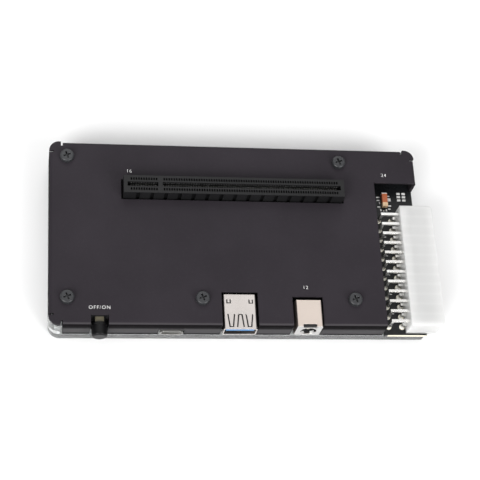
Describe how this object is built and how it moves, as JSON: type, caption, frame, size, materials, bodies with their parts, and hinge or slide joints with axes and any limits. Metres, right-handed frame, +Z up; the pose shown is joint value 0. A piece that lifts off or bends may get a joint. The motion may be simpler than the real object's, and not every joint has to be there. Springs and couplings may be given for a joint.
{
  "type": "external graphics card enclosure",
  "caption": "Flat desktop dock with a black folded sheet cover, clear base, card slot on top, side power header, front data ports, power jack and push button.",
  "frame": {"origin": "under the middle of the whole outline, on the surface that the feet stand on", "axes": "+X right along the front edge, +Y from the ports to the rear, +Z up out of the cover"},
  "size_m": [0.1544, 0.0816, 0.0216],
  "materials": {
    "black_sheet": "satin black powder coat",
    "clear_plastic": "clear polished",
    "rubber": "matte black",
    "brass": "turned",
    "black_screw": "black oxide",
    "black_board": "black solder mask",
    "black_moulding": "matte black",
    "plated_contact": "gold plated",
    "natural_nylon": "milky natural nylon",
    "tinned_pin": "bright tin",
    "bright_shell": "bright nickel",
    "blue_moulding": "blue",
    "cream_moulding": "cream",
    "black_cap": "satin black",
    "orange_moulding": "orange epoxy",
    "chip_ceramic": "white ceramic",
    "aluminium": "plain",
    "grey_core": "grey composite"
  },
  "bodies": {
    "enclosure": {"top_cover": "black_sheet", "base_tray": "clear_plastic", "rubber_feet": "rubber", "threaded_inserts": "brass", "board_spacers": "brass", "cover_screws": "black_screw", "main_board": "black_board", "slot_housing": "black_moulding", "slot_contacts": "plated_contact", "atx_housing": "natural_nylon", "atx_upper_pins": "tinned_pin", "atx_lower_pins": "tinned_pin", "usb_a_shell": "bright_shell", "usb_a_tongue": "blue_moulding", "usb_a_contacts": "plated_contact", "usb_c_shell": "bright_shell", "usb_c_tongue": "black_moulding", "usb_c_contacts": "plated_contact", "dc_jack_shield": "bright_shell", "dc_jack_body": "black_moulding", "dc_jack_pin": "plated_contact", "dc_jack_spring": "plated_contact", "switch_body": "black_moulding", "switch_terminals": "tinned_pin", "tantalum_capacitor": "orange_moulding", "chip_resistors": "chip_ceramic", "controller_chip": "black_moulding", "heat_sink": "aluminium", "memory_chips": "black_moulding", "power_inductors": "grey_core", "power_transistors": "black_moulding", "polymer_capacitors": "aluminium", "timing_crystals": "bright_shell"},
    "button": {"switch_plunger": "cream_moulding", "button_cap": "black_cap"}
  },
  "joints": [
    {"name": "power_button_press", "type": "slide", "parent": "enclosure", "child": "button", "axis": [0, 1, 0], "range_m": [0, 0.002], "stiffness_N_per_m": 900}
  ]
}
